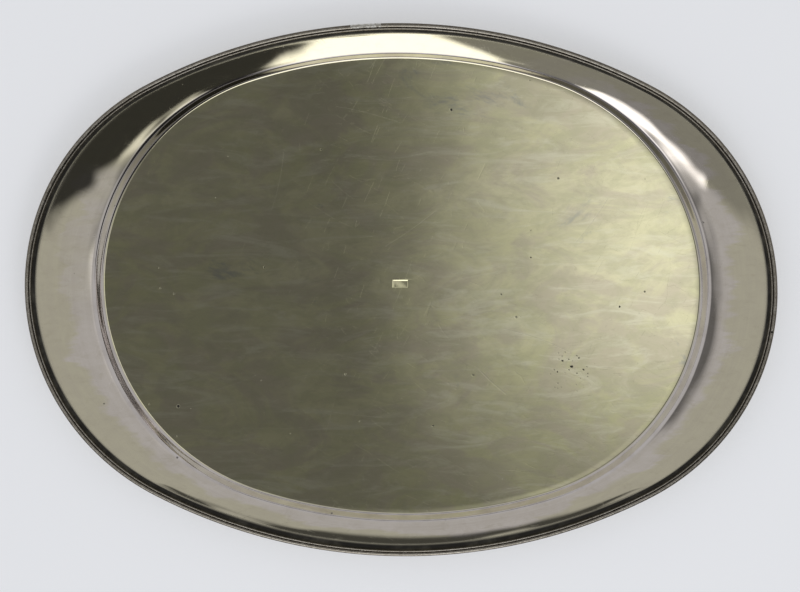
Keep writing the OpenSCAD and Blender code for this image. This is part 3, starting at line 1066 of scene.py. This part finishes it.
tray = make_tray()
outward(tray)
wear_finish(tray, tray_finish)
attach(tray, "root")
for number, side in enumerate(("right", "back", "left", "front")):
    bead = make_bead(side, 10 + number * 5)
    thread = make_thread(side, 30 + number * 5)
    solder = make_solder(side, 50 + number * 5)
    for piece, finish in ((bead, rim_finish), (thread, rim_finish), (solder, solder_finish)):
        outward(piece)
        wear_finish(piece, finish)
        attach(piece, "root")
repair = make_repair()
outward(repair)
wear_finish(repair, solder_finish)
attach(repair, "root")
finish_cad_node("joint_pegs", wire_finish)
finish_cad_node("joint_solder", solder_finish)


# ---------------------------------------------------------------- floor, light and camera
FLOOR_R, FLOOR_DROP, FLOOR_GLOW = 14.0, 0.00005, 0.36
PALE_AIR, AIR_STRENGTH = (0.80, 0.81, 0.835, 1), 0.95
LAMP_PLACE, LAMP_SIZE, LAMP_POWER = (0.9, -1.7, 2.2), (1.6, 1.2), 12.0
CAMERA_TILT, CAMERA_TURN, CAMERA_ROLL = math.radians(11.06), math.radians(3.78), math.radians(-0.51)
CAMERA_DISTANCE, CAMERA_RIGHT, CAMERA_DOWN = 2.5, 0.0008, 0.0018
CAMERA_LENS, CAMERA_SENSOR = 169.74, 36.0


def make_floor():
    """A wide pale matt floor. From below it is clear, so that the underside can be looked at."""
    mesh = bpy.data.meshes.new("floor")
    shape = bmesh.new()
    bmesh.ops.create_circle(shape, cap_ends=True, segments=96, radius=FLOOR_R)
    shape.to_mesh(mesh)
    shape.free()
    floor = bpy.data.objects.new("floor", mesh)
    floor.location.z = -FLOOR_DROP
    bpy.context.scene.collection.objects.link(floor)
    material, b, shader = new_material("pale_floor")
    shade = b.noise(here(b), 1.5, 3.0)
    b.put(shader.inputs["Base Color"], b.mix(shade, (0.46, 0.465, 0.475, 1), (0.48, 0.485, 0.495, 1)))
    shader.inputs["Roughness"].default_value = 0.85
    shader.inputs["Emission Color"].default_value = (0.96, 0.97, 1.0, 1)
    shader.inputs["Emission Strength"].default_value = FLOOR_GLOW
    shader.inputs["Specular IOR Level"].default_value = 0.1
    clear = b.node("ShaderNodeBsdfTransparent")
    sides = b.node("ShaderNodeMixShader")
    b.put(sides.inputs[0], b.node("ShaderNodeNewGeometry").outputs["Backfacing"])
    b.put(sides.inputs[1], shader.outputs[0])
    b.put(sides.inputs[2], clear.outputs[0])
    output = next(n for n in material.node_tree.nodes if n.type == "OUTPUT_MATERIAL")
    b.put(output.inputs["Surface"], sides.outputs[0])
    wear_finish(floor, material)


def make_soft_box_group():
    """A soft-edged oblong overhead: 1 inside it, 0 outside."""
    tree, b, given, out = new_group(
        "soft_box", X=0.0, Y=0.0, Left=-1.0, Right=1.0, Low=-1.0, High=1.0, Soft=0.05)
    total = None
    for position, low, high in (("X", "Left", "Right"), ("Y", "Low", "High")):
        edges = []
        for edge, inner, outer in ((low, 0.0, 1.0), (high, 1.0, 0.0)):
            start = b.minus(given[edge], given["Soft"])
            end = b.plus(given[edge], given["Soft"])
            edges.append(b.ease(given[position], start, end, inner, outer))
        both = b.times(edges[0], edges[1])
        total = both if total is None else b.times(total, both)
    b.put(out["Mask"], total)
    return tree


# The studio, as large soft oblongs on a far ceiling at height 1, over a room of even grey:
# left, right, low, high, softness, brightness. A later one covers an earlier one.
SOFT_BOXES = [
    (-3.4, -0.40, -3.4, -0.42, 0.06, 0.24),
    (0.16, 1.80, -3.4, -0.42, 0.05, 0.035),
    (-0.40, 0.16, -3.4, -0.42, 0.05, 1.7),
    (-0.80, 0.60, 1.08, 1.70, 0.06, 0.06),
    (-0.30, 0.12, -0.36, 0.02, 0.05, 0.12),
    (-0.035, 0.12, -0.235, 0.02, 0.05, 0.85),
]
ROOM_GREY = 0.42


def soft_box_mask(b, box, x, y, place):
    left, right, low, high, soft = place[:5]
    return b.group(box, X=x, Y=y, Left=left, Right=right, Low=low, High=high, Soft=soft)


def make_world():
    """Even pale light, and in mirror reflections a grey room with a few large soft boxes."""
    world = bpy.data.worlds.new("studio")
    bpy.context.scene.world = world
    world.use_nodes = True
    tree = world.node_tree
    tree.nodes.clear()
    b = Bench(tree)
    box = make_soft_box_group()
    way = b.node("ShaderNodeTexCoord").outputs["Generated"]
    parts = b.split(way)
    up = b.most(parts[2], 0.02)
    x = b.maths("DIVIDE", parts[0], up)
    y = b.maths("DIVIDE", parts[1], up)
    bright = b.node("ShaderNodeValue").outputs[0]
    bright.default_value = ROOM_GREY
    for place in SOFT_BOXES:
        bright = b.mix_value(soft_box_mask(b, box, x, y, place), bright, place[-1])

    path = b.node("ShaderNodeLightPath")
    seen = b.node("ShaderNodeBackground", None, {"Color": PALE_AIR, "Strength": AIR_STRENGTH})
    mirrored = b.node("ShaderNodeBackground", None, {"Strength": 1.0})
    b.put(mirrored.inputs["Color"], bright)
    both = b.node("ShaderNodeMixShader")
    b.put(both.inputs[0], path.outputs["Is Glossy Ray"])
    b.put(both.inputs[1], seen.outputs[0])
    b.put(both.inputs[2], mirrored.outputs[0])
    output = b.node("ShaderNodeOutputWorld")
    b.put(output.inputs[0], both.outputs[0])


def make_key_light():
    """One large soft lamp for a gentle shadow."""
    lamp = bpy.data.lights.new("key_lamp", "AREA")
    lamp.shape = "RECTANGLE"
    lamp.size, lamp.size_y = LAMP_SIZE
    lamp.energy = LAMP_POWER
    key = bpy.data.objects.new("key_lamp", lamp)
    key.location = LAMP_PLACE
    key.rotation_mode = "QUATERNION"
    key.rotation_quaternion = (-Vector(key.location)).to_track_quat("-Z", "Y")
    key.visible_glossy = False
    bpy.context.scene.collection.objects.link(key)


def make_camera():
    """The camera looks down on the salver, a little from the far side and the right."""
    tilt, turn, roll = CAMERA_TILT, CAMERA_TURN, CAMERA_ROLL
    back = Vector((math.sin(turn) * math.cos(tilt), math.sin(tilt), math.cos(turn) * math.cos(tilt)))
    right = Vector((math.cos(turn), 0, -math.sin(turn)))
    up = back.cross(right)
    spin = Matrix.Rotation(roll, 3, back)
    right, up = spin @ right, spin @ up
    aim = Vector((0, 0, BEAD_Z * MM)) + right * CAMERA_RIGHT - up * CAMERA_DOWN
    data = bpy.data.cameras.new("camera")
    data.sensor_width = CAMERA_SENSOR
    data.lens = CAMERA_LENS
    camera = bpy.data.objects.new("camera", data)
    turned = Matrix((right, up, back)).transposed().to_4x4()
    camera.matrix_world = Matrix.Translation(aim + back * CAMERA_DISTANCE) @ turned
    bpy.context.scene.collection.objects.link(camera)
    bpy.context.scene.camera = camera


make_floor()
make_world()
make_key_light()
make_camera()
bpy.context.scene.view_settings.view_transform = "Standard"
bpy.context.scene.view_settings.look = "None"
